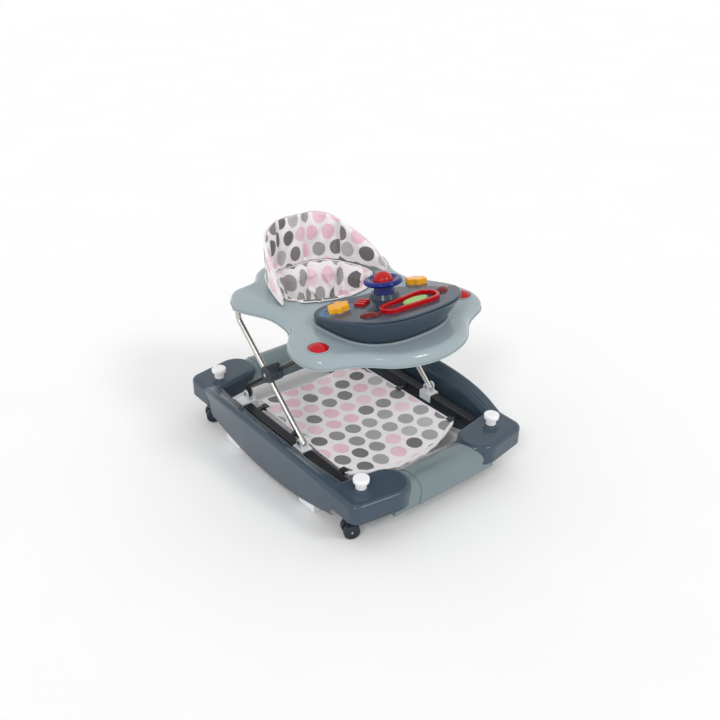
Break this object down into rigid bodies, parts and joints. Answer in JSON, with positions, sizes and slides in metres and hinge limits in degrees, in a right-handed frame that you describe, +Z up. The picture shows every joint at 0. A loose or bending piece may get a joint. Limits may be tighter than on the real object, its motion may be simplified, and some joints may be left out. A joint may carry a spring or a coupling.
{
  "type": "baby walker",
  "caption": "Baby walker and rocker with folding scissor arms, a padded seat, a play tray with toys and lifting casters.",
  "frame": {"origin": "on the floor under the middle of the base, between the four casters", "axes": "+Z up, +X across the walker to its right as seen from the front tray, -Y to the play tray's nose"},
  "size_m": [0.5354, 0.693, 0.5236],
  "materials": {
    "slate_plastic": "dark slate moulded polypropylene, semi-gloss",
    "grey_plastic": "pale grey moulded plastic, glossy",
    "console_plastic": "dark blue-grey moulded plastic",
    "white_plastic": "white moulded nylon",
    "black_plastic": "black moulded plastic",
    "brushed_tube": "bright brushed steel tube",
    "black_tube": "black powder-coated steel tube",
    "zinc": "zinc-plated steel",
    "red_plastic": "glossy red plastic",
    "blue_plastic": "glossy dark blue plastic",
    "yellow_plastic": "glossy yellow plastic",
    "green_plastic": "green plastic",
    "lens_red": "dark red lens",
    "dotted_fabric": "off-white padded cotton with grey and pink dots",
    "wheel_plastic": "dark hard plastic tread"
  },
  "bodies": {
    "base": {"rocker_left": "slate_plastic", "rocker_right": "slate_plastic", "bumper_front": "grey_plastic", "bumper_rear": "grey_plastic", "slide_rail_left": "black_plastic", "slide_rail_right": "black_plastic", "foot_bracket_left": "white_plastic", "foot_bracket_right": "white_plastic", "foot_mat": "dotted_fabric", "mat_hooks": "black_plastic", "rocking_stops": "white_plastic"},
    "rear_arms": {"rear_arm_left": "black_tube", "rear_arm_right": "black_tube", "rear_hub_left": "slate_plastic", "rear_hub_right": "slate_plastic", "rear_arm_pins": "zinc"},
    "front_arms": {"front_arm_left": "brushed_tube", "front_arm_right": "brushed_tube", "front_hub_left": "slate_plastic", "front_hub_right": "slate_plastic", "front_arm_pins": "zinc"},
    "sliders": {"arm_slider_left": "white_plastic", "arm_slider_right": "white_plastic"},
    "tray": {"tray_shell": "grey_plastic", "rear_hangers": "black_plastic", "height_racks": "black_plastic", "seat_back": "dotted_fabric", "seat_sling": "dotted_fabric", "console": "console_plastic", "sound_box": "black_plastic", "steering_post": "blue_plastic", "oval_lights": "lens_red", "toy_loop": "red_plastic", "toy_insert": "green_plastic", "slide_beads": "red_plastic"},
    "steering": {"steering_wheel": "blue_plastic", "steering_cap": "red_plastic"},
    "flower_left": {"flower_knob_left": "yellow_plastic"},
    "flower_right": {"flower_knob_right": "yellow_plastic"},
    "dome_left": {"dome_button_left": "red_plastic"},
    "dome_right": {"dome_button_right": "red_plastic"},
    "knob_front_left": {"caster_knob_front_left": "white_plastic"},
    "fork_front_left": {"caster_fork_front_left": "slate_plastic", "caster_axle_front_left": "zinc"},
    "wheels_front_left": {"caster_wheels_front_left": "wheel_plastic"},
    "knob_front_right": {"caster_knob_front_right": "white_plastic"},
    "fork_front_right": {"caster_fork_front_right": "slate_plastic", "caster_axle_front_right": "zinc"},
    "wheels_front_right": {"caster_wheels_front_right": "wheel_plastic"},
    "knob_rear_left": {"caster_knob_rear_left": "white_plastic"},
    "fork_rear_left": {"caster_fork_rear_left": "slate_plastic", "caster_axle_rear_left": "zinc"},
    "wheels_rear_left": {"caster_wheels_rear_left": "wheel_plastic"},
    "knob_rear_right": {"caster_knob_rear_right": "white_plastic"},
    "fork_rear_right": {"caster_fork_rear_right": "slate_plastic", "caster_axle_rear_right": "zinc"},
    "wheels_rear_right": {"caster_wheels_rear_right": "wheel_plastic"}
  },
  "joints": [
    {"name": "tray_fold", "type": "hinge", "parent": "base", "child": "rear_arms", "pos_m": [0, 0.172, 0.122], "axis": [1, 0, 0], "range_deg": [-7, 28]},
    {"name": "scissor_cross", "type": "hinge", "parent": "rear_arms", "child": "front_arms", "pos_m": [0, 0.05, 0.24], "axis": [1, 0, 0], "range_deg": [-56.2, 14.2]},
    {"name": "tray_level", "type": "hinge", "parent": "front_arms", "child": "tray", "pos_m": [0, 0.172, 0.358], "axis": [1, 0, 0], "range_deg": [-7.2, 28.2]},
    {"name": "slider_level", "type": "hinge", "parent": "front_arms", "child": "sliders", "pos_m": [0, -0.072, 0.122], "axis": [1, 0, 0], "range_deg": [-7.2, 28.2]},
    {"name": "steering_spin", "type": "hinge", "parent": "tray", "child": "steering", "pos_m": [0, -0.116, 0.44071], "axis": [0, 0.1762, 0.9844], "continuous": true},
    {"name": "flower_left_spin", "type": "hinge", "parent": "tray", "child": "flower_left", "pos_m": [-0.108, -0.098, 0.43277], "axis": [-0.0984, 0.2499, 0.9633], "continuous": true},
    {"name": "flower_right_spin", "type": "hinge", "parent": "tray", "child": "flower_right", "pos_m": [0.108, -0.098, 0.43277], "axis": [0.0984, 0.2499, 0.9633], "continuous": true},
    {"name": "dome_left_press", "type": "slide", "parent": "tray", "child": "dome_left", "axis": [0, 0, -1], "range_m": [0, 0.003], "stiffness_N_per_m": 600, "springref_m": -0.001},
    {"name": "dome_right_press", "type": "slide", "parent": "tray", "child": "dome_right", "axis": [0, 0, -1], "range_m": [0, 0.003], "stiffness_N_per_m": 600, "springref_m": -0.001},
    {"name": "lift_front_left", "type": "slide", "parent": "base", "child": "knob_front_left", "axis": [0, 0, 1], "range_m": [0, 0.022]},
    {"name": "swivel_front_left", "type": "hinge", "parent": "knob_front_left", "child": "fork_front_left", "pos_m": [-0.192, -0.28, 0.07], "axis": [0, 0, 1], "continuous": true},
    {"name": "roll_front_left", "type": "hinge", "parent": "fork_front_left", "child": "wheels_front_left", "pos_m": [-0.213, -0.271, 0.018], "axis": [-0.3939, -0.9191, 0], "continuous": true},
    {"name": "lift_front_right", "type": "slide", "parent": "base", "child": "knob_front_right", "axis": [0, 0, 1], "range_m": [0, 0.022]},
    {"name": "swivel_front_right", "type": "hinge", "parent": "knob_front_right", "child": "fork_front_right", "pos_m": [0.192, -0.28, 0.07], "axis": [0, 0, 1], "continuous": true},
    {"name": "roll_front_right", "type": "hinge", "parent": "fork_front_right", "child": "wheels_front_right", "pos_m": [0.171, -0.271, 0.018], "axis": [-0.3939, -0.9191, 0], "continuous": true},
    {"name": "lift_rear_left", "type": "slide", "parent": "base", "child": "knob_rear_left", "axis": [0, 0, 1], "range_m": [0, 0.022]},
    {"name": "swivel_rear_left", "type": "hinge", "parent": "knob_rear_left", "child": "fork_rear_left", "pos_m": [-0.192, 0.28, 0.07], "axis": [0, 0, 1], "continuous": true},
    {"name": "roll_rear_left", "type": "hinge", "parent": "fork_rear_left", "child": "wheels_rear_left", "pos_m": [-0.213, 0.289, 0.018], "axis": [-0.3939, -0.9191, 0], "continuous": true},
    {"name": "lift_rear_right", "type": "slide", "parent": "base", "child": "knob_rear_right", "axis": [0, 0, 1], "range_m": [0, 0.022]},
    {"name": "swivel_rear_right", "type": "hinge", "parent": "knob_rear_right", "child": "fork_rear_right", "pos_m": [0.192, 0.28, 0.07], "axis": [0, 0, 1], "continuous": true},
    {"name": "roll_rear_right", "type": "hinge", "parent": "fork_rear_right", "child": "wheels_rear_right", "pos_m": [0.171, 0.289, 0.018], "axis": [-0.3939, -0.9191, 0], "continuous": true}
  ],
  "couplings": [
    {"joint": "scissor_cross", "follows": "tray_fold", "ratio": -2},
    {"joint": "tray_level", "follows": "tray_fold", "ratio": 1},
    {"joint": "slider_level", "follows": "tray_fold", "ratio": 1}
  ]
}
